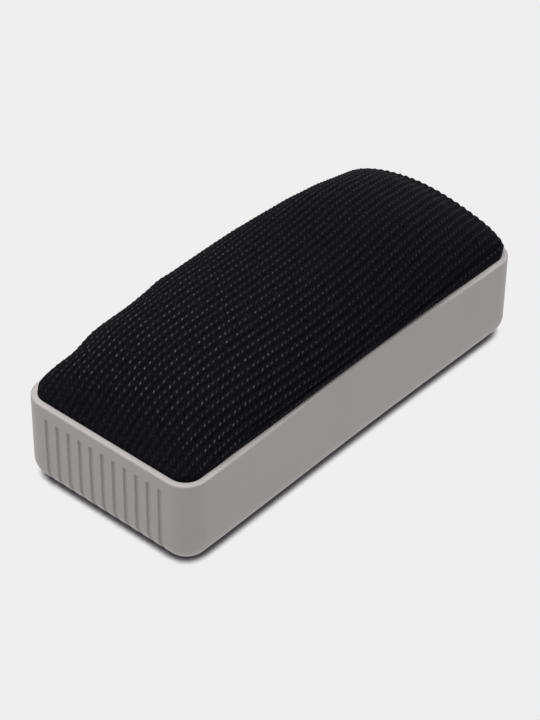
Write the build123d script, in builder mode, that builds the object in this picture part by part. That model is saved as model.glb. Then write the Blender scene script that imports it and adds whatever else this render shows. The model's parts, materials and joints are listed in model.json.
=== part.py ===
from build123d import *

import os

# Whiteboard eraser: a moulded tray that holds a foam block under a crowned, ribbed wiping cloth.
# The origin is the centre of the tray's closed face, on the surface that the eraser stands on.
# +X runs along the eraser, +Y across it, and +Z up through the pad. All sizes are in millimetres.

# Tray: overall sizes and walls
TRAY_LENGTH = 131.0  # along X
TRAY_WIDTH = 57.0  # along Y, at the corners
TRAY_HEIGHT = 26.0  # closed face to rim
WALL = 1.7
FLOOR = 2.0
CORNER_RADIUS = 6.7  # upright corners, outside
BASE_RADIUS = 6.0  # round along the outside bottom edge
RIM_RADIUS = 0.5  # softened outer edge of the rim

# The long walls lean inwards towards the rim, as thin moulded walls do. The lean is greatest at
# BOW_PEAK_X, a little off centre, and it is gone at the corners.
RIM_BOW = 1.5
BOW_PEAK_X = 18.0

# Grip grooves, upright in both short ends, as many as the flat between the corners takes
GROOVE_PITCH = 3.85
GROOVE_WIDTH = 1.35
GROOVE_DEPTH = 0.7
GROOVE_TOP_GAP = 3.7  # from the rim down to the square top of each groove
GROOVE_RUNOUT = 80.0  # degrees of the bottom round that a groove follows before it runs out

# Pad: foam under cloth
CLOTH_THICKNESS = 1.2
TUCK_GAP = 0.2  # between the cloth and the tray's inside walls
SIDE_RISE = 1.0  # how far the pad stands straight up past the rim before it curves in
CROWN = [  # share of the pad's length from its near end, and the foam's height above the side rise
    (0.0, 0.4),
    (0.05, 6.2),
    (0.12, 11.3),
    (0.24, 15.4),
    (0.42, 16.5),
    (0.68, 16.4),
    (0.82, 14.6),
    (0.92, 10.9),
    (1.0, 6.7),
]

# Sizes that follow from the ones above. A bottom round can't be as large as the upright corners.
BASE_ROUND = min(BASE_RADIUS, 0.9 * CORNER_RADIUS)
END_FLAT = TRAY_WIDTH - 2 * CORNER_RADIUS
GROOVE_COUNT = 1 + int((END_FLAT - GROOVE_WIDTH) / GROOVE_PITCH)
CAVITY_LENGTH = TRAY_LENGTH - 2 * WALL
CAVITY_WIDTH = TRAY_WIDTH - 2 * WALL
CAVITY_RADIUS = CORNER_RADIUS - WALL
CAVITY_BASE_RADIUS = BASE_ROUND - WALL
FLOOR_BOW = RIM_BOW * FLOOR / TRAY_HEIGHT
PAD_LENGTH = CAVITY_LENGTH - 2 * TUCK_GAP
PAD_WIDTH = CAVITY_WIDTH - 2 * TUCK_GAP
PAD_RADIUS = CAVITY_RADIUS - TUCK_GAP
SKIRT_END = FLOOR + CAVITY_BASE_RADIUS  # the cloth stops where the cavity starts to round in
FOAM_LENGTH = PAD_LENGTH - 2 * CLOTH_THICKNESS
FOAM_WIDTH = PAD_WIDTH - 2 * CLOTH_THICKNESS
FOAM_RADIUS = PAD_RADIUS - CLOTH_THICKNESS
FOAM_BASE_RADIUS = CAVITY_BASE_RADIUS - TUCK_GAP - CLOTH_THICKNESS
EDGE_Z = TRAY_HEIGHT + SIDE_RISE
PAD_TOP = EDGE_Z + 2 * max(height for share, height in CROWN)  # clear above the crown


def plan_outline(length, width, radius, bow=0.0):
    """The plan shape of the tray and the pad: a rounded rectangle whose long sides bow in."""
    end_x = length / 2
    side_y = width / 2
    corner_x = end_x - radius
    corner_y = side_y - radius
    with BuildSketch() as outline:
        with BuildLine():
            Line((-end_x, -corner_y), (-end_x, corner_y))
            RadiusArc((-end_x, corner_y), (-corner_x, side_y), radius)
            Spline(
                [(-corner_x, side_y), (BOW_PEAK_X, side_y - bow), (corner_x, side_y)],
                tangents=[(1, 0), (1, 0)],
            )
            RadiusArc((corner_x, side_y), (end_x, corner_y), radius)
            Line((end_x, corner_y), (end_x, -corner_y))
            RadiusArc((end_x, -corner_y), (corner_x, -side_y), radius)
            Spline(
                [(corner_x, -side_y), (BOW_PEAK_X, bow - side_y), (-corner_x, -side_y)],
                tangents=[(-1, 0), (-1, 0)],
            )
            RadiusArc((-corner_x, -side_y), (-end_x, -corner_y), radius)
        make_face()
    return outline.sketch


def crown_section(width, base_z, edge_z, height):
    """A slice across the pad: straight sides up to edge_z, then half an ellipse."""
    side_y = width / 2
    with BuildSketch() as section:
        with BuildLine():
            Polyline((-side_y, edge_z), (-side_y, base_z), (side_y, base_z), (side_y, edge_z))
            EllipticalCenterArc((0, edge_z), side_y, height, 0, arc_size=180)
        make_face()
    return section.sketch


# The tray's hollow, which leans with the long walls so that they keep their thickness
with BuildPart() as cavity:
    with BuildSketch(Plane.XY.offset(FLOOR)):
        add(plan_outline(CAVITY_LENGTH, CAVITY_WIDTH, CAVITY_RADIUS, FLOOR_BOW))
    with BuildSketch(Plane.XY.offset(TRAY_HEIGHT)):
        add(plan_outline(CAVITY_LENGTH, CAVITY_WIDTH, CAVITY_RADIUS, RIM_BOW))
    loft(ruled=True)
    fillet(cavity.faces().sort_by(Axis.Z)[0].edges(), CAVITY_BASE_RADIUS)

# One grip groove of the near end: square at the top, and running out through the bottom round
with BuildPart() as groove:
    groove_floor_x = GROOVE_DEPTH - TRAY_LENGTH / 2
    outside_x = -TRAY_LENGTH / 2 - GROOVE_DEPTH
    groove_top_z = TRAY_HEIGHT - GROOVE_TOP_GAP
    with BuildSketch(Plane.XZ):
        with BuildLine():
            round_line = CenterArc(
                (groove_floor_x + BASE_ROUND, BASE_ROUND), BASE_ROUND, 180, GROOVE_RUNOUT
            )
            runout = Line(round_line @ 1, round_line @ 1 + round_line % 1 * BASE_ROUND)
            Polyline(
                runout @ 1,
                (outside_x, (runout @ 1).Y),
                (outside_x, groove_top_z),
                (groove_floor_x, groove_top_z),
                (groove_floor_x, BASE_ROUND),
            )
        make_face()
    extrude(amount=GROOVE_WIDTH / 2, both=True)

# Holder: the moulded tray
with BuildPart() as holder:
    with BuildSketch(Plane.XY):
        add(plan_outline(TRAY_LENGTH, TRAY_WIDTH, CORNER_RADIUS))
    with BuildSketch(Plane.XY.offset(TRAY_HEIGHT)):
        add(plan_outline(TRAY_LENGTH, TRAY_WIDTH, CORNER_RADIUS, RIM_BOW))
    loft(ruled=True)
    fillet(holder.faces().sort_by(Axis.Z)[0].edges(), BASE_ROUND)
    fillet(holder.faces().sort_by(Axis.Z)[-1].edges(), RIM_RADIUS)
    add(cavity.part, mode=Mode.SUBTRACT)
    with GridLocations(0, GROOVE_PITCH, 1, GROOVE_COUNT):
        add(groove.part, mode=Mode.SUBTRACT)
        add(groove.part.mirror(Plane.YZ), mode=Mode.SUBTRACT)

# Foam core: a block that fills the hollow, with a crown above the rim
with BuildPart() as foam_core:
    for share, height in CROWN:
        with BuildSketch(Plane.YZ.offset((share - 0.5) * PAD_LENGTH)):
            add(crown_section(FOAM_WIDTH, FLOOR, EDGE_Z, height))
    loft()
    with BuildSketch(Plane.XY.offset(FLOOR)):
        add(plan_outline(FOAM_LENGTH, FOAM_WIDTH, FOAM_RADIUS, RIM_BOW))
    extrude(amount=PAD_TOP - FLOOR, mode=Mode.INTERSECT)
    fillet(foam_core.faces().sort_by(Axis.Z)[0].edges(), FOAM_BASE_RADIUS)

# Wiping cloth: over the crown, a little way over the rim, and down between foam and walls
with BuildPart() as wiping_cloth:
    for share, height in CROWN:
        with BuildSketch(Plane.YZ.offset((share - 0.5) * PAD_LENGTH)):
            add(crown_section(PAD_WIDTH, TRAY_HEIGHT, EDGE_Z, height + CLOTH_THICKNESS))
    loft()
    with BuildSketch(Plane.XY.offset(TRAY_HEIGHT)):  # all that lies outside the rounded plan
        Rectangle(TRAY_LENGTH, TRAY_WIDTH)
        RectangleRounded(PAD_LENGTH, PAD_WIDTH, PAD_RADIUS, mode=Mode.SUBTRACT)
    extrude(amount=PAD_TOP - TRAY_HEIGHT, mode=Mode.SUBTRACT)
    with BuildSketch(Plane.XY.offset(SKIRT_END)):
        add(plan_outline(PAD_LENGTH, PAD_WIDTH, PAD_RADIUS, RIM_BOW))
    extrude(amount=TRAY_HEIGHT - SKIRT_END)
    add(foam_core.part, mode=Mode.SUBTRACT)

holder.part.label = "holder"
foam_core.part.label = "foam_core"
wiping_cloth.part.label = "wiping_cloth"

os.makedirs("parts", exist_ok=True)
export_step(holder.part, "parts/holder.step")
export_step(foam_core.part, "parts/foam_core.step")
export_step(wiping_cloth.part, "parts/wiping_cloth.step")
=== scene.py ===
# %% [markdown]
# # A whiteboard eraser
# A grey moulded tray holds a block of foam, and a black ribbed cloth is stretched over the foam.
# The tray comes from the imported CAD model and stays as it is. The two soft pieces are made here:
# the foam by a cloth simulation under pressure, and the cloth as a knitted sheet laid over it.
# One unit is a metre, and the eraser stands on Z = 0 with its length along X.

# %% Load the frame
import json
import math

import bpy
import numpy as np
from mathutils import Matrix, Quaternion, Vector
from mathutils.bvhtree import BVHTree

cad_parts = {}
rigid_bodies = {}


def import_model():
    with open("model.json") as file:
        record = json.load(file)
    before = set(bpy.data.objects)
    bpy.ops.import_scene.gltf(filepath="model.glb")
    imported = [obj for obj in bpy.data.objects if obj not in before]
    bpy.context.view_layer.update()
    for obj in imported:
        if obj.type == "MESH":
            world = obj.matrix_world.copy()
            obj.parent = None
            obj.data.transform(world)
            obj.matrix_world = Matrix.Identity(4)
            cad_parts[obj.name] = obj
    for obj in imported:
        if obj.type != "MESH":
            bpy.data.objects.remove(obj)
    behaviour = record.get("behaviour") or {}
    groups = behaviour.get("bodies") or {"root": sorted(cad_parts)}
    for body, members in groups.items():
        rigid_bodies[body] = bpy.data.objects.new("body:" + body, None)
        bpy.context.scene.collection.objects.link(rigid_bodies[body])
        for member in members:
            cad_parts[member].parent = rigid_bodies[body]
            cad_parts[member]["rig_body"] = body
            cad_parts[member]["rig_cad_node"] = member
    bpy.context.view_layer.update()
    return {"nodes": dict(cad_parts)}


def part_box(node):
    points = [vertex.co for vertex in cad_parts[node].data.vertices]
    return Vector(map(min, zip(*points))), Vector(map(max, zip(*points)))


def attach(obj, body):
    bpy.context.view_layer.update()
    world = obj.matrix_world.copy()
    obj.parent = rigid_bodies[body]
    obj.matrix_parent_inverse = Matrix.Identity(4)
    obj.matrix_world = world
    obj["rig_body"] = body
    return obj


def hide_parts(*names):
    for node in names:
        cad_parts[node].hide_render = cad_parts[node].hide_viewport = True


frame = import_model()
MM = 0.001
tray_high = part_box("holder")[1]

# %% [markdown]
# ## Camera, light and floor
# The eraser is seen from above one corner with a long lens, so that its edges stay nearly parallel.
# A camera is placed by where it stands and what it looks at. `to_track_quat` turns its -Z axis to
# the target, and a small roll about that axis finishes it.

# %% Camera
CAMERA_PLACE = Vector((-388.8, -333.1, 425.4)) * MM
CAMERA_TARGET = Vector((-0.64, 2.01, 12.0)) * MM
CAMERA_ROLL = math.radians(0.72)
LENS_MM = 125.3

camera = bpy.data.objects.new("camera", bpy.data.cameras.new("camera"))
bpy.context.scene.collection.objects.link(camera)
camera.data.lens = LENS_MM
camera.data.clip_start = 0.01
camera.location = CAMERA_PLACE
camera.rotation_mode = "QUATERNION"
towards = (CAMERA_TARGET - CAMERA_PLACE).to_track_quat("-Z", "Y")
camera.rotation_quaternion = towards @ Quaternion((0, 0, 1), CAMERA_ROLL)
bpy.context.scene.camera = camera
print("camera stands", round((CAMERA_TARGET - CAMERA_PLACE).length, 3), "m away")


# %% [markdown]
# The eraser stands in a light tent: light comes from all round, a little more of it from above, and
# shadows hardly show. The world is the tent, and one large soft lamp hangs over it. The lamp is
# what the rims and the yarn reflect. `Standard` keeps colours as they are set, without a film curve.

# %% Light
TENT_LIGHT = 0.62
LAMP_SIZE = 0.9
LAMP_HEIGHT = 0.9
LAMP_POWER = 9.0
LAMP_OVER = (-0.05, 0.10)

scene = bpy.context.scene
scene.view_settings.view_transform = "Standard"
world = bpy.data.worlds.new("light_tent")
world.use_nodes = True
world.node_tree.nodes["Background"].inputs["Color"].default_value = (1.0, 1.0, 1.0, 1.0)
world.node_tree.nodes["Background"].inputs["Strength"].default_value = TENT_LIGHT
scene.world = world

lamp = bpy.data.objects.new("overhead_lamp", bpy.data.lights.new("overhead_lamp", "AREA"))
scene.collection.objects.link(lamp)
lamp.data.shape = "DISK"
lamp.data.size = LAMP_SIZE
lamp.data.energy = LAMP_POWER
lamp.location = (*LAMP_OVER, LAMP_HEIGHT)
print("lamp of", LAMP_POWER, "W,", LAMP_SIZE, "m across")

# %% [markdown]
# The floor is a sheet of lit white acrylic, as product tables have. It glows evenly, so the eraser's
# soft shadow drowns in it, apart from the dark line where the tray nearly touches it. The Ambient
# Occlusion node finds that line: it is dark where something stands within a few millimetres. The
# Light Path node keeps the line out of the light the floor throws back up on the tray.

# %% Floor
FLOOR_SIZE = 6.0
FLOOR_GLOW = 0.863
SHADOW_REACH = 4.0 * MM
SHADOW_LEAN = (-0.8, -0.1, 1.0)  # the shadow is thinner on the side this leans to
SHADOW_COLOUR = (0.055, 0.050, 0.056, 1)
DARK_BELOW, PALE_ABOVE = 0.30, 0.63  # openness, from 0 shut in to 1 open


def deselect_all():
    """Nothing selected, so that the next operator acts only on what is picked for it."""
    if bpy.context.object and bpy.context.object.mode != "OBJECT":
        bpy.ops.object.mode_set(mode="OBJECT")
    bpy.ops.object.select_all(action="DESELECT")


deselect_all()
bpy.ops.mesh.primitive_plane_add(size=FLOOR_SIZE, location=(0, 0, 0))
floor = bpy.context.object
floor.name = "floor"

floor_finish = bpy.data.materials.new("lit_acrylic")
floor_finish.use_nodes = True
tree = floor_finish.node_tree
tree.nodes.clear()
near = tree.nodes.new("ShaderNodeAmbientOcclusion")
near.samples = 16
near.inputs["Distance"].default_value = SHADOW_REACH
near.inputs["Normal"].default_value = Vector(SHADOW_LEAN).normalized()
fade = tree.nodes.new("ShaderNodeValToRGB")
fade.color_ramp.interpolation = "EASE"
fade.color_ramp.elements[0].position = DARK_BELOW
fade.color_ramp.elements[0].color = SHADOW_COLOUR
fade.color_ramp.elements[1].position = PALE_ABOVE
fade.color_ramp.elements[1].color = (1, 1, 1, 1)
rays = tree.nodes.new("ShaderNodeLightPath")
seen = tree.nodes.new("ShaderNodeMix")
seen.data_type = "RGBA"
seen.inputs[6].default_value = (1, 1, 1, 1)
glow = tree.nodes.new("ShaderNodeEmission")
glow.inputs["Strength"].default_value = FLOOR_GLOW
floor_out = tree.nodes.new("ShaderNodeOutputMaterial")
tree.links.new(near.outputs["AO"], fade.inputs["Fac"])
tree.links.new(rays.outputs["Is Camera Ray"], seen.inputs["Factor"])
tree.links.new(fade.outputs["Color"], seen.inputs[7])
tree.links.new(seen.outputs[2], glow.inputs["Color"])
tree.links.new(glow.outputs["Emission"], floor_out.inputs["Surface"])
floor.data.materials.append(floor_finish)
print("floor glows at", FLOOR_GLOW)

# %% [markdown]
# ## The foam block
# The real block is cut from soft foam, a little larger than the tray's hollow, and pressed in, so
# its top swells into a smooth crown. A cloth simulation under pressure gives that: the CAD block is
# copied, made into even small faces by a voxel remesh, and blown up a little as if it were a
# cushion's skin. Gravity is off, and how far a point may move is capped, so the block keeps its size.

# %% Copy the foam and give it even faces
FOAM_VOXEL = 2.0 * MM
FOAM_SWELL = 0.4 * MM

deselect_all()
foam = frame["nodes"]["foam_core"].copy()
foam.data = foam.data.copy()
foam.name = "foam_block"
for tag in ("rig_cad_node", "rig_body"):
    if tag in foam:
        del foam[tag]
foam.parent = None
scene.collection.objects.link(foam)
foam.data.materials.clear()
foam.select_set(True)
bpy.context.view_layer.objects.active = foam
bpy.ops.object.mode_set(mode="EDIT")
bpy.ops.mesh.select_all(action="SELECT")
bpy.ops.mesh.remove_doubles(threshold=0.01 * MM)
bpy.ops.object.mode_set(mode="OBJECT")
foam.data.remesh_voxel_size = FOAM_VOXEL
bpy.ops.object.voxel_remesh()
print("foam block:", len(foam.data.polygons), "faces")


# %% Blow it up like a cushion
def places(mesh):
    """The mesh's points as an array of shape (count, 3)."""
    found = np.empty(len(mesh.vertices) * 3, np.float32)
    mesh.vertices.foreach_get("co", found)
    return found.reshape(-1, 3).astype(float)


def move_points(mesh, to):
    """Puts the mesh's points where the array says."""
    mesh.vertices.foreach_set("co", to.astype(np.float32).ravel())
    mesh.update()


def swell(obj, pressure, most, frames=20):
    """Runs Cloth with pressure on obj, applies it, and keeps each point within most of its start."""
    start = places(obj.data)
    cloth = obj.modifiers.new("swell", "CLOTH")
    cloth.settings.use_pressure = True
    cloth.settings.uniform_pressure_force = pressure
    cloth.settings.quality = 5
    cloth.settings.effector_weights.gravity = 0.0
    cloth.point_cache.frame_end = frames
    for number in range(1, frames + 1):
        scene.frame_set(number)
    bpy.context.view_layer.objects.active = obj
    bpy.ops.object.modifier_apply(modifier=cloth.name)
    scene.frame_set(1)
    moved = places(obj.data) - start
    length = np.linalg.norm(moved, axis=1)
    share = np.minimum(1.0, most / np.maximum(length, 1e-9))
    move_points(obj.data, start + moved * share[:, None])
    return length.max()


furthest = swell(foam, pressure=4.0, most=FOAM_SWELL)
print("foam skin moved up to", round(furthest / MM, 2), "mm before the cap")

# %% [markdown]
# ## The ribbed cloth
# The cloth is a thick rib knit. Its ribs run along the eraser in a shallow bow, because the sheet
# was pulled hardest at the two ends. It is made as a fine grid whose rows follow the ribs, so each
# rib keeps a clean valley beside it. The grid is first laid on a smooth crown, which is described by
# stations along the pad: how high it stands there, and how full its sides are.

# %% Stations of the crown
# (share of the pad's length from the sloping end, height in mm above the cloth's edge)
CROWN_HEIGHT = [
    (0.00, 0.0), (0.02, 2.9), (0.05, 6.9), (0.10, 11.1), (0.16, 14.1), (0.24, 16.0), (0.34, 17.0),
    (0.58, 17.2), (0.70, 17.2), (0.80, 15.7), (0.88, 13.1), (0.94, 10.7), (0.98, 8.2), (1.00, 7.3),
]
# (share of the length, how square the shoulders are), and (share of the length, how steep the sides)
SHOULDER = [(0.0, 2.9), (0.30, 2.35), (0.55, 2.35), (0.80, 2.55), (0.95, 2.15), (1.0, 2.0)]
SIDE = [(0.0, 0.70), (0.12, 0.54), (0.30, 0.46), (0.55, 0.41), (0.80, 0.57), (1.0, 0.58)]
CREST_SHIFT = 0.10  # the crest lies this share of the half width towards +Y


def smooth_through(stations, at):
    """A smooth line through (place, value) stations that never overshoots them."""
    x, y = np.array(stations, float).T
    step, rise = np.diff(x), np.diff(y) / np.diff(x)
    slope = np.zeros(len(x))
    same = rise[:-1] * rise[1:] > 0
    first, last = 2 * step[1:] + step[:-1], step[1:] + 2 * step[:-1]
    both = (first + last)[same] / (first[same] / rise[:-1][same] + last[same] / rise[1:][same])
    slope[1:-1][same] = both
    slope[0], slope[-1] = rise[0], rise[-1]
    at = np.clip(at, x[0], x[-1])
    i = np.clip(np.searchsorted(x, at, side="right") - 1, 0, len(step) - 1)
    t = (at - x[i]) / step[i]
    return (
        y[i] * (1 + 2 * t) * (1 - t) ** 2
        + slope[i] * step[i] * t * (1 - t) ** 2
        + y[i + 1] * t * t * (3 - 2 * t)
        + slope[i + 1] * step[i] * t * t * (t - 1)
    )


print("crown at mid length:", smooth_through(CROWN_HEIGHT, np.array([0.5])), "mm")

# %% [markdown]
# The cloth's outline is the inside of the tray's rim. The tray's long walls bow in at the rim, and
# the cloth doesn't: it laps over the rim there. Below its edge the cloth turns under, and goes down
# into the gap between the foam and the wall, where its cut edge is hidden.

# %% Outline and edge of the cloth, in millimetres
RIM_Z = tray_high.z / MM
HALF_LENGTH = tray_high.x / MM
WALL = 1.7
TRAY_CORNER = 6.7
RIM_BOW = 1.5
BOW_PEAK_X = 18.0
EDGE_RISE = 1.67  # the cloth is widest this far above the rim
CLOTH_HALF_WIDTH = tray_high.y / MM - 1.66
NEAR_X = 1.66 - HALF_LENGTH
FAR_X = HALF_LENGTH - 2.0
FAR_FLARE = 1.3  # how far its edge laps over the rim at the steep end
FLARE_FROM_X = 48.0
FLARE_HEIGHT = 7.0  # above its edge
SIDE_BULGE = 0.35  # how much wider it is at mid length, on the -Y side
PLAN_RADIUS = 5.4
TUCK_DEPTH = 3.0  # how far below the rim the cloth is cut off
GAP_CLEARANCE = 0.15
EDGE_Z = RIM_Z + EDGE_RISE


def corner_inset(x):
    """How much narrower the cloth is at x, where its plan corners are rounded."""
    from_near = np.clip(PLAN_RADIUS - (x - NEAR_X), 0, PLAN_RADIUS)
    from_far = np.clip(PLAN_RADIUS - (FAR_X - x), 0, PLAN_RADIUS)
    into = np.maximum(from_near, from_far)
    return PLAN_RADIUS - np.sqrt(np.maximum(PLAN_RADIUS**2 - into**2, 0))


def inside_walls(x, y):
    """x and y moved in to where the tray's end walls and round corners leave room for cloth."""
    centre_x, centre_y = HALF_LENGTH - TRAY_CORNER, tray_high.y / MM - TRAY_CORNER
    room = TRAY_CORNER - WALL - GAP_CLEARANCE
    past_x = np.maximum(np.abs(x) - centre_x, 0)
    past_y = np.maximum(np.abs(y) - centre_y, 0)
    share = np.minimum(1, room / np.maximum(np.hypot(past_x, past_y), 1e-9))
    in_x = np.minimum(np.abs(x), centre_x) + past_x * share
    in_y = np.minimum(np.abs(y), centre_y) + past_y * share
    return np.sign(x) * in_x, np.sign(y) * in_y


def wall_bow(x):
    """How far a long wall's rim has moved in at x: nothing at the corners, most at the peak."""
    corner_x = HALF_LENGTH - TRAY_CORNER
    span = np.where(x < BOW_PEAK_X, corner_x + BOW_PEAK_X, corner_x - BOW_PEAK_X)
    t = np.clip(1 - np.abs(x - BOW_PEAK_X) / span, 0, 1)
    return RIM_BOW * t * t * (3 - 2 * t)


print("cloth half width", round(CLOTH_HALF_WIDTH, 2), "mm, edge", round(EDGE_Z, 2), "mm up")


# %% [markdown]
# A slice across the pad is drawn at each column of the grid: half of it goes from the crest over the
# crown, round the edge, and down into the gap. Points are then spaced along that slice by real
# distance, as threads are in cloth.

# %% A slice across the pad
SLICE_POINTS = 240
BELOW_TUCK = 40.0  # the slice runs on this far down, and is cut off level later


def half_slice(x, side):
    """Points (y, z) of one half of the slice at x, from the crest line outward, and the distance of
    each along the slice. side is -1 or +1. The last number is the distance at the cloth's edge."""
    share = (x - NEAR_X) / (FAR_X - NEAR_X)
    height = smooth_through(CROWN_HEIGHT, share)
    shoulder = smooth_through(SHOULDER, share)
    steep = smooth_through(SIDE, share)
    bulge = SIDE_BULGE * max(0.0, 1 - (x / HALF_LENGTH) ** 2) if side < 0 else 0.0
    width = CLOTH_HALF_WIDTH + bulge - corner_inset(x)
    v = side * np.sin(np.linspace(0, math.pi / 2, SLICE_POINTS))
    w = v - CREST_SHIFT * (1 - v * v)
    y = v * width
    z = EDGE_Z + height * np.maximum(1 - np.abs(w) ** shoulder, 0) ** steep
    inner = width - min(wall_bow(x), width) - GAP_CLEARANCE
    lap = width - inner
    under_y = side * np.array([width - 0.15 * lap, width - 0.5 * lap, inner + 0.1, inner, inner])
    under_z = np.array([RIM_Z + 0.75, RIM_Z + 0.22, RIM_Z + 0.08, RIM_Z - 0.5, RIM_Z - BELOW_TUCK])
    edge_at = len(y) - 1
    y, z = np.append(y, under_y), np.append(z, under_z)
    along = np.concatenate([[0], np.cumsum(np.hypot(np.diff(y), np.diff(z)))])
    return y, z, along, along[edge_at]


print("half slice at the middle:", round(half_slice(0.0, -1)[3], 1), "mm from crest to edge")

# %% [markdown]
# ### Rows that follow the ribs
# Ribs are numbered across the pad. Where a rib lies is one formula: its number times the pitch, less
# the bow that grows towards the ends. Eight rows of the grid go to each rib. Columns stand where
# the pad needs them: closer on the sloping end, then down the steep far wall.

# %% Grid of the cloth
RIB_PITCH = 2.219
RIB_AT_CREST = 8.71
RIB_TILT = 3.28
RIB_BOW = 7.82
FIRST_RIB, LAST_RIB = -9.5, 29.0
ROWS_A_RIB = 8
STITCH = 1.75
STEPS_A_STITCH = 4


def rib_distance(rib, x):
    """How far from the crest line rib number rib lies at x, positive towards -Y, along the cloth."""
    xn = np.clip(x / HALF_LENGTH, -1, 1)
    return (rib - RIB_AT_CREST) * RIB_PITCH - RIB_TILT * xn - RIB_BOW * xn * xn


def columns_of(step):
    """Where the columns are: x of each, how far it has gone down an end wall, and the distance
    along the cloth."""
    x = np.linspace(NEAR_X, FAR_X, 4000)
    share = (x - NEAR_X) / (FAR_X - NEAR_X)
    up = smooth_through(CROWN_HEIGHT, share)
    rise, turn = np.diff(up), np.diff(corner_inset(x))
    along = np.concatenate(
        [[0], np.cumsum(np.sqrt(np.diff(x) ** 2 + np.maximum(rise**2, turn**2)))]
    )
    count = int(round(along[-1] / step))
    top = np.interp(np.linspace(0, along[-1], count + 1), along, x)
    near_down = np.arange(math.ceil((EDGE_RISE + TUCK_DEPTH + 0.5) / step), 0, -1) * step
    wall = smooth_through(CROWN_HEIGHT, np.array([1.0]))[0] + EDGE_RISE + TUCK_DEPTH + 0.5
    far_down = np.arange(1, math.ceil(wall / step) + 1) * step
    xs = np.concatenate([np.full(len(near_down), NEAR_X), top, np.full(len(far_down), FAR_X)])
    down = np.concatenate([near_down, np.zeros(count + 1), far_down])
    length = np.concatenate([-near_down, np.linspace(0, along[-1], count + 1), along[-1] + far_down])
    return xs, down, length


def smooth_crown(ribs, xs, down):
    """The bare cloth without its ribs: places of shape (rows, columns, 3) in mm, and each point's
    distance inside the cloth's edge."""
    place = np.zeros((len(ribs), len(xs), 3))
    inside = np.zeros((len(ribs), len(xs)))
    for column, (x, drop) in enumerate(zip(xs, down)):
        distance = rib_distance(ribs, x)
        for side in (-1, 1):
            rows = distance * -side > 0 if side > 0 else distance >= 0
            y, z, along, edge = half_slice(x, side)
            reach = np.abs(distance[rows])
            place[rows, column, 1] = np.interp(reach, along, y)
            place[rows, column, 2] = np.interp(reach, along, z) - drop
            inside[rows, column] = edge - reach
        place[:, column, 0] = x
    place[..., 2] = np.maximum(place[..., 2], RIM_Z - TUCK_DEPTH)
    return place, inside


ribs = np.arange(FIRST_RIB, LAST_RIB, 1 / ROWS_A_RIB)
column_x, column_down, column_length = columns_of(STITCH / STEPS_A_STITCH)
bare, inside_edge = smooth_crown(ribs, column_x, column_down)
print("cloth grid:", bare.shape[0], "rows by", bare.shape[1], "columns")

# %% [markdown]
# ### Relief of the knit
# On top of the smooth crown come, from large to small: a low fold and two dents on the back shoulder,
# the tucks beside the long rim, the ribs, and the stitches, which lie on each rib like the strands
# of a rope. Each is a height in millimetres at every point of the grid, added along the
# cloth's own normal. The fuzz that is finer than a stitch is left to the material.

# %% Ribs and stitches
RIB_HEIGHT = 0.38
STITCH_HEIGHT = 0.14
DASH_TILT = math.radians(28)  # how far a strand leans from its rib
DASH_LONG, DASH_WIDE = 0.55, 0.22  # of one strand, in mm, from its middle to where it fades
LOOSE_END = 9.0  # length at the sloping end where the knit is stretched flat
SEED = 11
MOST_RIBS, MOST_STITCHES = 60, 130  # room in the tables of random sizes
COUNT_FROM = 12  # added to a rib's or stitch's number, so that the first ones aren't negative


def ramp(value, low, high):
    """0 below low, 1 above high, and smooth between."""
    t = np.clip((value - low) / (high - low), 0, 1)
    return t * t * (3 - 2 * t)


def bump(value, centre, width):
    """1 at the centre, fading to nothing over a few widths."""
    return np.exp(-(((value - centre) / width) ** 2))


def stitch_count(rib, along):
    """How many stitches along its rib a point lies. Ribs slip a little against each other."""
    rng = np.random.default_rng(SEED)
    slip = rng.uniform(-0.3, 0.3, MOST_RIBS)[np.floor(rib).astype(int) + COUNT_FROM]
    return along / STITCH + slip + 0.12 * np.sin(along / 5.3 + 2.1 * np.floor(rib))


def knit_relief(ribs, length, place, inside):
    """Height of the knit in mm at every point of the grid."""
    rng = np.random.default_rng(SEED + 1)
    rib, along = np.meshgrid(ribs, length, indexing="ij")
    x, y, z = place[..., 0], place[..., 1], place[..., 2]
    across = rib - np.floor(rib)
    count = stitch_count(rib, along)
    rib_number = np.floor(rib).astype(int) + COUNT_FROM
    stitch_number = np.clip(np.floor(count).astype(int) + COUNT_FROM, 0, MOST_STITCHES - 1)
    ridge = np.abs(np.sin(np.pi * across)) ** 0.7
    over = (count - np.floor(count) - 0.5) * STITCH
    aside = (across - 0.5) * RIB_PITCH
    dash_u = over * math.cos(DASH_TILT) - aside * math.sin(DASH_TILT)
    dash_w = over * math.sin(DASH_TILT) + aside * math.cos(DASH_TILT)
    strand = np.exp(-((dash_u / DASH_LONG) ** 2) - (dash_w / DASH_WIDE) ** 2)
    firm = 0.15 + 0.85 * ramp(along, 0.5 * LOOSE_END, 1.6 * LOOSE_END)
    rib_size = rng.uniform(0.85, 1.15, MOST_RIBS)[rib_number]
    stitch_size = rng.uniform(0.5, 1.5, (MOST_RIBS, MOST_STITCHES))[rib_number, stitch_number]
    beside_rim = 0.55 + 0.45 * ramp(inside, 1.0, 4.5)
    flatter = 1 - 0.35 * ramp(x, 30, 60)
    height = RIB_HEIGHT * (ridge - 0.7) * firm * rib_size * beside_rim * flatter
    height += STITCH_HEIGHT * (strand - 0.2) * firm * stitch_size
    tuck = 0.55 * bump(inside, 1.5 + 0.5 * ramp(x, 0, 50), 0.32) * ramp(x, -58, -40)
    tuck += 0.4 * bump(inside, 3.1, 0.35) * ramp(x, 18, 40)
    height -= np.where(y < 0, tuck, 0.5 * tuck)
    return height * ramp(z, RIM_Z + 0.2, RIM_Z + 1.6)


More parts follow.
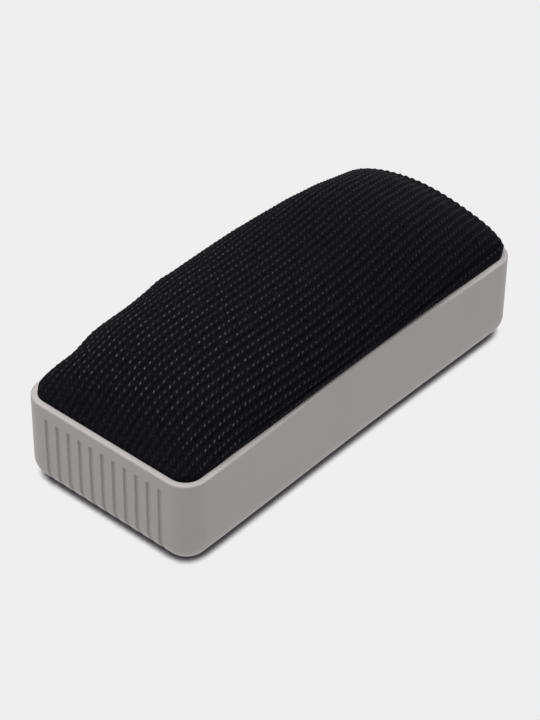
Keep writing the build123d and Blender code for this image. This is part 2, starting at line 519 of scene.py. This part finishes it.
def gathers(place, inside):
    """A low fold over the back shoulder, and two dents between it and the sloping end, in mm."""
    x, y = place[..., 0], place[..., 1]
    fold = 0.25 * bump(x, -20.0, 3.0) - 0.55 * bump(x, -32.0, 9.0) - 0.85 * bump(x, -50.0, 4.5)
    return fold * bump(y, 23.0, 7.0) * ramp(inside, -1.0, 3.0)


def normals_of(place):
    """The outward normal at every point of the grid, smoothed over its neighbours."""
    along = np.gradient(place, axis=1)
    across = np.gradient(place, axis=0)
    n = np.cross(across, along)
    n = soften(n, 1)
    return n / np.maximum(np.linalg.norm(n, axis=-1, keepdims=True), 1e-9)


def soften(field, times):
    """Averages each point of the grid with its neighbours, times over. The border stays."""
    for _ in range(times):
        mean = field.copy()
        mean[1:-1] = 0.25 * field[:-2] + 0.5 * field[1:-1] + 0.25 * field[2:]
        field = mean.copy()
        field[:, 1:-1] = 0.25 * mean[:, :-2] + 0.5 * mean[:, 1:-1] + 0.25 * mean[:, 2:]
    return field


relief = knit_relief(ribs, column_length, bare, inside_edge)
print("relief from", round(relief.min(), 2), "to", round(relief.max(), 2), "mm")

# %% [markdown]
# ### Laying the sheet
# The sheet starts as a flat grid primitive, with one point for each place worked out above. Its
# points are then moved there. The bottom of the tuck is flattened to one height, so the faces left
# with no area there are deleted, and that makes a straight cut edge.

# %% Lay the sheet
CLOTH_THICKNESS = 0.7
NO_AREA = 1e-4 * MM * MM


def lay_sheet(name, ribs, step, drop_by, relief_on):
    """A sheet over the crown, sunk by drop_by mm, with or without the relief of the knit."""
    xs, down, length = columns_of(step)
    place, inside = smooth_crown(ribs, xs, down)
    low_down = 1 - ramp(place[..., 2], EDGE_Z, EDGE_Z + FLARE_HEIGHT)
    place[..., 0] += FAR_FLARE * ramp(place[..., 0], FLARE_FROM_X, FAR_X) * low_down
    below_edge = ramp(EDGE_Z - place[..., 2], 0, EDGE_RISE)
    for axis, moved in enumerate(inside_walls(place[..., 0], place[..., 1])):
        place[..., axis] += below_edge * (moved - place[..., axis])
    place = soften(place, 2 if relief_on else 0)
    place[..., 2] = np.maximum(place[..., 2], RIM_Z - TUCK_DEPTH)
    normal = normals_of(place)
    rise = gathers(place, inside) - drop_by
    if relief_on:
        rise = rise + knit_relief(ribs, length, place, inside)
    place = place + normal * rise[..., None]
    place[..., 2] = np.maximum(place[..., 2], RIM_Z - TUCK_DEPTH)
    rows, columns = place.shape[:2]
    deselect_all()
    bpy.ops.mesh.primitive_grid_add(
        x_subdivisions=columns - 1, y_subdivisions=rows - 1, size=0.1, location=(0, 0, 0)
    )
    sheet = bpy.context.object
    sheet.name = name
    move_points(sheet.data, place[::-1].reshape(-1, 3) * MM)
    rib, along = np.meshgrid(ribs, length, indexing="ij")
    knit = np.stack([rib[::-1], stitch_count(rib, along)[::-1]], -1).reshape(-1, 2)
    corner_point = np.empty(len(sheet.data.loops), int)
    sheet.data.loops.foreach_get("vertex_index", corner_point)
    knit_map = sheet.data.uv_layers[0]
    knit_map.name = "knit"
    knit_map.data.foreach_set("uv", knit[corner_point].astype(np.float32).ravel())
    return sheet


def delete_flat_faces(obj):
    """Deletes the faces of obj that have no area, and what they leave loose."""
    deselect_all()
    obj.select_set(True)
    bpy.context.view_layer.objects.active = obj
    bpy.ops.object.mode_set(mode="EDIT")
    bpy.ops.mesh.select_mode(type="FACE")
    bpy.ops.mesh.select_all(action="DESELECT")
    bpy.ops.object.mode_set(mode="OBJECT")
    flat = [face.area < NO_AREA for face in obj.data.polygons]
    obj.data.polygons.foreach_set("select", flat)
    bpy.ops.object.mode_set(mode="EDIT")
    bpy.ops.mesh.delete(type="FACE")
    bpy.ops.mesh.select_all(action="SELECT")
    bpy.ops.mesh.delete_loose()
    bpy.ops.object.mode_set(mode="OBJECT")
    return sum(flat)


cover = lay_sheet("cloth_cover", ribs, STITCH / STEPS_A_STITCH, 0.0, True)
removed = delete_flat_faces(cover)
print("cover:", len(cover.data.polygons), "faces, after", removed, "flat ones were deleted")

# %% [markdown]
# ### Foam and lining
# The cloth presses the foam in wherever the two would meet. A BVH tree finds the nearest place on a
# plain sheet, sunk by the cloth's thickness, and a foam point that is outside it is moved back in.

# %% Keep the foam under the cloth
UNDER_CLOTH = 0.15  # mm between the lining and the foam


def keep_under(obj, sheet, clear):
    """Moves the points of obj that stand nearer to the sheet than clear, or outside it, back in."""
    bare_sheet = BVHTree.FromPolygons(
        [v.co.copy() for v in sheet.data.vertices], [f.vertices[:] for f in sheet.data.polygons]
    )
    moved = 0
    for vertex in obj.data.vertices:
        nearest, normal, _, _ = bare_sheet.find_nearest(vertex.co)
        if vertex.co.z > (RIM_Z - TUCK_DEPTH) * MM and (vertex.co - nearest).dot(normal) > -clear:
            vertex.co = nearest - normal * clear
            moved += 1
    return moved


# %% [markdown]
# The same plain sheet then becomes the cloth's inner side. It needs no ribs, so its grid is coarse.
# Its faces are flipped to look inward, and `bridge_edge_loops` joins the two cut edges into a hem.

# %% Close it with a lining
LINING_STEP = 2.5

lining = lay_sheet(
    "lining", np.arange(FIRST_RIB, LAST_RIB, 1.0), LINING_STEP, CLOTH_THICKNESS, False
)
delete_flat_faces(lining)
pushed = keep_under(foam, lining, UNDER_CLOTH * MM)
low, high = (np.array(corner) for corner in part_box("foam_core"))
high[2] = np.inf  # the lining already limits it upward
move_points(foam.data, np.clip(places(foam.data), low, high))
print("foam points pushed under the cloth:", pushed)
deselect_all()
lining.select_set(True)
bpy.context.view_layer.objects.active = lining
bpy.ops.object.mode_set(mode="EDIT")
bpy.ops.mesh.select_all(action="SELECT")
bpy.ops.mesh.flip_normals()
bpy.ops.object.mode_set(mode="OBJECT")
cover.select_set(True)
bpy.context.view_layer.objects.active = cover
bpy.ops.object.join()
bpy.ops.object.mode_set(mode="EDIT")
bpy.ops.mesh.select_mode(type="EDGE")
bpy.ops.mesh.select_all(action="DESELECT")
bpy.ops.mesh.select_non_manifold(
    extend=False, use_wire=False, use_boundary=True, use_multi_face=False,
    use_non_contiguous=False, use_verts=False,
)
bpy.ops.mesh.bridge_edge_loops()
bpy.ops.object.mode_set(mode="OBJECT")
bpy.ops.object.shade_smooth()
print("closed cover:", len(cover.data.polygons), "faces")

# %% [markdown]
# ## Finishes
# Three finishes share two effects, so each effect is a node group: `mottle`, a soft cloudy value
# that keeps a surface from being one flat colour, and `specks`, small scattered spots such as dust,
# lint or the pores of foam. A group gives out only a mask or a value, and the shader that uses it
# stays in the material.

# %% Node helpers and the two shared effects
def add_node(tree, kind, settings=None, **inputs):
    """A node of a kind, with its settings and its input sockets set by name."""
    node = tree.nodes.new(kind)
    for name, value in (settings or {}).items():
        setattr(node, name, value)
    for name, value in inputs.items():
        by_number = name[0] == "i" and name[1:].isdigit()
        socket = node.inputs[int(name[1:]) if by_number else name]
        if isinstance(value, bpy.types.NodeSocket):
            tree.links.new(value, socket)
        else:
            socket.default_value = value
    return node


def maths(tree, operation, first, second=0.0, third=0.0, clamp=False):
    """The result of one Math node."""
    node = add_node(tree, "ShaderNodeMath", {"operation": operation, "use_clamp": clamp},
                    i0=first, i1=second, i2=third)
    return node.outputs[0]


def blend_colours(tree, share, first, second):
    """Between the first colour at share 0 and the second at share 1."""
    node = add_node(tree, "ShaderNodeMix", {"data_type": "RGBA"}, Factor=share)
    for socket, colour in ((node.inputs[6], first), (node.inputs[7], second)):
        if isinstance(colour, bpy.types.NodeSocket):
            tree.links.new(colour, socket)
        else:
            socket.default_value = (*colour, 1.0)
    return node.outputs[2]


def new_effect(name, numbers, result):
    """A shader node group that takes a Vector and numbers, and gives one value."""
    group = bpy.data.node_groups.new(name, "ShaderNodeTree")
    group.interface.new_socket("Vector", in_out="INPUT", socket_type="NodeSocketVector")
    for label, value in numbers.items():
        socket = group.interface.new_socket(label, in_out="INPUT", socket_type="NodeSocketFloat")
        socket.default_value = value
    group.interface.new_socket(result, in_out="OUTPUT", socket_type="NodeSocketFloat")
    return group, group.nodes.new("NodeGroupInput").outputs, group.nodes.new("NodeGroupOutput").inputs


mottle, taken, given = new_effect("mottle", {"Scale": 60.0, "Contrast": 1.0}, "Value")
cloud = add_node(mottle, "ShaderNodeTexNoise", Vector=taken["Vector"], Scale=taken["Scale"],
                 Detail=3.0, Roughness=0.6)
spread = maths(mottle, "MULTIPLY_ADD", maths(mottle, "SUBTRACT", cloud.outputs["Fac"], 0.5),
               taken["Contrast"], 0.5, clamp=True)
mottle.links.new(spread, given["Value"])

specks, taken, given = new_effect("specks", {"Scale": 300.0, "Amount": 0.05, "Size": 0.2}, "Mask")
cells = add_node(specks, "ShaderNodeTexVoronoi", Vector=taken["Vector"], Scale=taken["Scale"])
chosen = add_node(specks, "ShaderNodeSeparateColor", Color=cells.outputs["Color"])
few = maths(specks, "LESS_THAN", chosen.outputs["Red"], taken["Amount"])
size = maths(specks, "MULTIPLY", taken["Size"], chosen.outputs["Green"])
small = maths(specks, "LESS_THAN", cells.outputs["Distance"], size)
specks.links.new(maths(specks, "MULTIPLY", few, small), given["Mask"])


def use_effect(tree, effect, vector, **numbers):
    """Places a node group in a material and gives its output."""
    node = add_node(tree, "ShaderNodeGroup", {"node_tree": effect}, Vector=vector, **numbers)
    return node.outputs[0]


def new_finish(name, **sockets):
    """A material, its node tree and its Principled shader with these constants set on it."""
    finish = bpy.data.materials.new(name)
    finish.use_nodes = True
    shader = finish.node_tree.nodes["Principled BSDF"]
    for label, value in sockets.items():
        shader.inputs[label.replace("_", " ")].default_value = value
    return finish, finish.node_tree, shader


print("effects:", [group.name for group in bpy.data.node_groups])

# %% [markdown]
# ### The tray's plastic
# It is grey polystyrene, moulded with a fine satin grain. Under the even light it is nearly one
# tone, so what makes it real is small: faint clouding, a grain that breaks up the reflections, a few
# pale specks, painted light in patches on the rim tops, which are also a little glossier there, and
# hair-thin scuffs. A Bevel node rounds its sharp edges for the light only, as a mould does.

# %% Tray plastic
PLASTIC_DARK = (0.308, 0.288, 0.286)
PLASTIC_PALE = (0.336, 0.313, 0.311)
PLASTIC_DEEP = (0.60, 0.56, 0.555)  # inside a groove, where light bounces between its walls
PLASTIC_RIM_LIGHT = (0.50, 0.485, 0.475)
PLASTIC_SPECK = (0.75, 0.74, 0.72)

tray_plastic, tree, shader = new_finish("tray_plastic", IOR=1.5, Specular_IOR_Level=0.4)
where = add_node(tree, "ShaderNodeTexCoord").outputs["Object"]
clouds = use_effect(tree, mottle, where, Scale=45.0, Contrast=1.4)
colour = blend_colours(tree, clouds, PLASTIC_DARK, PLASTIC_PALE)
height = add_node(tree, "ShaderNodeSeparateXYZ", Vector=where).outputs["Z"]
# Painted light: the rim tops are lightened in patches, as light from above falls on them. The same
# patches are made a little glossier.
at_rim = add_node(tree, "ShaderNodeMapRange", Value=height, **{"From Min": 0.0254, "From Max": 0.0260})
patches = use_effect(tree, mottle, where, Scale=220.0, Contrast=2.5)
rim_painted_light = maths(tree, "MULTIPLY", at_rim.outputs[0], patches)
colour = blend_colours(tree, maths(tree, "MULTIPLY", rim_painted_light, 0.35), colour, PLASTIC_RIM_LIGHT)
hollow = add_node(tree, "ShaderNodeAmbientOcclusion", {"samples": 8}, Distance=1.5 * MM).outputs["AO"]
in_groove = maths(tree, "SUBTRACT", 1.0, hollow)
colour = blend_colours(tree, in_groove, colour, PLASTIC_DEEP)
pale = use_effect(tree, specks, where, Scale=260.0, Amount=0.02, Size=0.09)
colour = blend_colours(tree, maths(tree, "MULTIPLY", pale, 0.6), colour, PLASTIC_SPECK)
stretched = add_node(tree, "ShaderNodeMapping", Vector=where, Scale=(140.0, 900.0, 2600.0),
                     Rotation=(0.2, 0.35, 0.1))
scuff_noise = add_node(tree, "ShaderNodeTexNoise", Vector=stretched.outputs[0], Scale=1.0, Detail=2.0)
scuffs = maths(tree, "MULTIPLY", maths(tree, "GREATER_THAN", scuff_noise.outputs["Fac"], 0.74), 0.25)
grain = add_node(tree, "ShaderNodeTexNoise", Vector=where, Scale=3500.0, Detail=2.0)
rough = maths(tree, "MULTIPLY_ADD", grain.outputs["Fac"], 0.16, 0.34)
rough = maths(tree, "SUBTRACT", rough, maths(tree, "MULTIPLY", rim_painted_light, 0.08))
rough = maths(tree, "ADD", rough, scuffs)
soft_edge = add_node(tree, "ShaderNodeBevel", {"samples": 4}, Radius=0.15 * MM)
relief_node = add_node(tree, "ShaderNodeBump", Height=grain.outputs["Fac"], Strength=0.35,
                       Distance=0.03 * MM, Normal=soft_edge.outputs[0])
tree.links.new(colour, shader.inputs["Base Color"])
tree.links.new(rough, shader.inputs["Roughness"])
tree.links.new(relief_node.outputs[0], shader.inputs["Normal"])
tray = frame["nodes"]["holder"]
tray.data.materials.clear()
tray.data.materials.append(tray_plastic)
print("tray finish:", len(tree.nodes), "nodes")

# %% [markdown]
# ### The black knit
# The yarn is black and slightly glossy. The ribs read by a bright dash where each strand turns over
# the rib, partly real gloss and partly a painted highlight, and by painted shade that darkens the
# valleys and the far end. The pattern follows the cloth, so it is drawn in the piece's own `knit`
# map, where one unit across is a rib and one unit along a stitch.
# The strands in the material fall near those in the mesh, and add the fibres finer than it.

# %% Black knit
KNIT_PAINTED_SHADE = (0.0012, 0.0014, 0.0026)
KNIT_TOP = (0.0050, 0.0052, 0.0078)
KNIT_WARM = (0.0070, 0.0054, 0.0068)
PAINTED_STRAND_SHINE = (0.17, 0.166, 0.19)
FUZZ_COLOUR = (0.036, 0.037, 0.045)
LINT = (0.42, 0.43, 0.46)

black_knit, tree, shader = new_finish(
    "black_knit", Specular_IOR_Level=0.05, Sheen_Weight=0.01, Sheen_Roughness=0.4
)
knit_uv = add_node(tree, "ShaderNodeUVMap", {"uv_map": "knit"}).outputs["UV"]
split = add_node(tree, "ShaderNodeSeparateXYZ", Vector=knit_uv)
rib_at, stitch_at = split.outputs["X"], split.outputs["Y"]
stitch_cell = add_node(tree, "ShaderNodeCombineXYZ", X=maths(tree, "FLOOR", rib_at),
                       Y=maths(tree, "FLOOR", stitch_at))
luck = add_node(tree, "ShaderNodeTexWhiteNoise", Vector=stitch_cell.outputs[0]).outputs["Value"]
across = maths(tree, "FRACT", rib_at)
ridge = maths(tree, "POWER", maths(tree, "SINE", maths(tree, "MULTIPLY", across, math.pi)), 0.7)
slip = maths(tree, "MULTIPLY_ADD", luck, 0.30, 0.35)
over = maths(tree, "MULTIPLY", maths(tree, "SUBTRACT", maths(tree, "FRACT", stitch_at), slip), STITCH)
aside = maths(tree, "MULTIPLY", maths(tree, "SUBTRACT", across, 0.5), RIB_PITCH)
dash_u = maths(tree, "SUBTRACT", maths(tree, "MULTIPLY", over, math.cos(DASH_TILT)),
               maths(tree, "MULTIPLY", aside, math.sin(DASH_TILT)))
dash_w = maths(tree, "ADD", maths(tree, "MULTIPLY", over, math.sin(DASH_TILT)),
               maths(tree, "MULTIPLY", aside, math.cos(DASH_TILT)))
far_u = maths(tree, "POWER", maths(tree, "DIVIDE", maths(tree, "ABSOLUTE", dash_u), DASH_LONG), 2.0)
far_w = maths(tree, "POWER", maths(tree, "DIVIDE", maths(tree, "ABSOLUTE", dash_w), DASH_WIDE), 2.0)
strand = maths(tree, "EXPONENT", maths(tree, "MULTIPLY", maths(tree, "ADD", far_u, far_w), -1.0))
fibre_place = add_node(tree, "ShaderNodeCombineXYZ", X=maths(tree, "MULTIPLY", dash_u, 1.6),
                       Y=maths(tree, "MULTIPLY", dash_w, 9.0), Z=maths(tree, "FLOOR", stitch_at))
fibres = add_node(tree, "ShaderNodeTexNoise", Vector=fibre_place.outputs[0], Scale=1.0, Detail=3.0)
where = add_node(tree, "ShaderNodeTexCoord").outputs["Object"]
fuzz = add_node(tree, "ShaderNodeTexNoise", Vector=where, Scale=1700.0, Detail=5.0, Roughness=0.75)
yarn = maths(tree, "MULTIPLY_ADD", fibres.outputs["Fac"], 0.5, maths(tree, "MULTIPLY", strand, 0.8))
yarn = maths(tree, "MULTIPLY_ADD", fuzz.outputs["Fac"], 0.35, yarn)
clouds = use_effect(tree, mottle, where, Scale=110.0, Contrast=2.0)
top_colour = blend_colours(tree, clouds, KNIT_TOP, KNIT_WARM)
# Painted shade: the valleys between ribs and strands are darker than the crests.
raised = maths(tree, "MULTIPLY_ADD", strand, 0.6, maths(tree, "MULTIPLY", ridge, 0.4))
colour = blend_colours(tree, raised, KNIT_PAINTED_SHADE, top_colour)
firm = add_node(tree, "ShaderNodeMapRange", Value=stitch_at, **{"From Min": 4.0, "From Max": 9.0})
far = add_node(tree, "ShaderNodeMapRange", Value=stitch_at,
               **{"From Min": 22.0, "From Max": 48.0, "To Min": 1.0, "To Max": 0.22})
# Painted highlight: a bright dash on each strand's crest, on top of the real gloss that its lower
# roughness gives.
painted_shine = maths(tree, "MULTIPLY", maths(tree, "MULTIPLY", firm.outputs[0], far.outputs[0]),
              maths(tree, "MULTIPLY_ADD", maths(tree, "POWER", luck, 1.5), 0.9, 0.12))
frayed = maths(tree, "MULTIPLY", maths(tree, "SUBTRACT", fibres.outputs["Fac"], 0.30), 2.6, clamp=True)
painted_shine = maths(tree, "MULTIPLY", maths(tree, "MULTIPLY", painted_shine, frayed), maths(tree, "POWER", strand, 2.4))
# Painted shade: the knit is darker towards its far end.
lit = maths(tree, "MULTIPLY_ADD", far.outputs[0], 0.5, 0.5)
colour = blend_colours(tree, lit, KNIT_PAINTED_SHADE, colour)
colour = blend_colours(tree, painted_shine, colour, PAINTED_STRAND_SHINE)
fluff = maths(tree, "MULTIPLY", maths(tree, "SUBTRACT", fuzz.outputs["Fac"], 0.54), 4.0, clamp=True)
colour = blend_colours(tree, maths(tree, "MULTIPLY", fluff, 0.55), colour, FUZZ_COLOUR)
lint = use_effect(tree, specks, where, Scale=420.0, Amount=0.010, Size=0.13)
colour = blend_colours(tree, lint, colour, LINT)
rough = maths(tree, "MULTIPLY_ADD", strand, -0.50, 0.84)
rough = maths(tree, "MULTIPLY_ADD", fuzz.outputs["Fac"], 0.12, rough)
relief_node = add_node(tree, "ShaderNodeBump", Height=yarn, Strength=0.8, Distance=0.14 * MM)
tree.links.new(colour, shader.inputs["Base Color"])
tree.links.new(rough, shader.inputs["Roughness"])
tree.links.new(relief_node.outputs[0], shader.inputs["Normal"])
cover.data.materials.clear()
cover.data.materials.append(black_knit)
print("knit finish:", len(tree.nodes), "nodes")

# %% [markdown]
# ### The foam
# Foam is full of small open cells. They are the same `specks` effect, with many more of them,
# pressed in, and darkened with painted shade.

# %% Foam finish
FOAM_DULL = (0.60, 0.60, 0.57)
FOAM_PALE = (0.66, 0.65, 0.62)
FOAM_PORE_SHADE = (0.22, 0.22, 0.21)

open_foam, tree, shader = new_finish("open_cell_foam", Specular_IOR_Level=0.2)
where = add_node(tree, "ShaderNodeTexCoord").outputs["Object"]
clouds = use_effect(tree, mottle, where, Scale=90.0, Contrast=1.5)
pores = use_effect(tree, specks, where, Scale=900.0, Amount=0.9, Size=0.45)
colour = blend_colours(tree, clouds, FOAM_DULL, FOAM_PALE)
# Painted shade: the pores are darkened.
colour = blend_colours(tree, maths(tree, "MULTIPLY", pores, 0.5), colour, FOAM_PORE_SHADE)
rough = maths(tree, "MULTIPLY_ADD", clouds, 0.1, 0.85)
relief_node = add_node(tree, "ShaderNodeBump", {"invert": True}, Height=pores, Distance=0.2 * MM)
tree.links.new(colour, shader.inputs["Base Color"])
tree.links.new(rough, shader.inputs["Roughness"])
tree.links.new(relief_node.outputs[0], shader.inputs["Normal"])
foam.data.materials.append(open_foam)
print("foam finish:", len(tree.nodes), "nodes")

# %% [markdown]
# ## Joining the pieces to the frame
# Nothing on this eraser moves, so every piece rides on the one body, `root`. The two soft pieces
# stand for the CAD solids of the same parts, which are hidden.

# %% Ride and replace
for piece, node, slot_name, fill in (
    (foam, "foam_core", "sponge_foam", 0.95),
    (cover, "wiping_cloth", "ribbed_cloth", 0.9),
):
    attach(piece, "root")
    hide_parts(node)
    print(piece.name, "stands for", node)
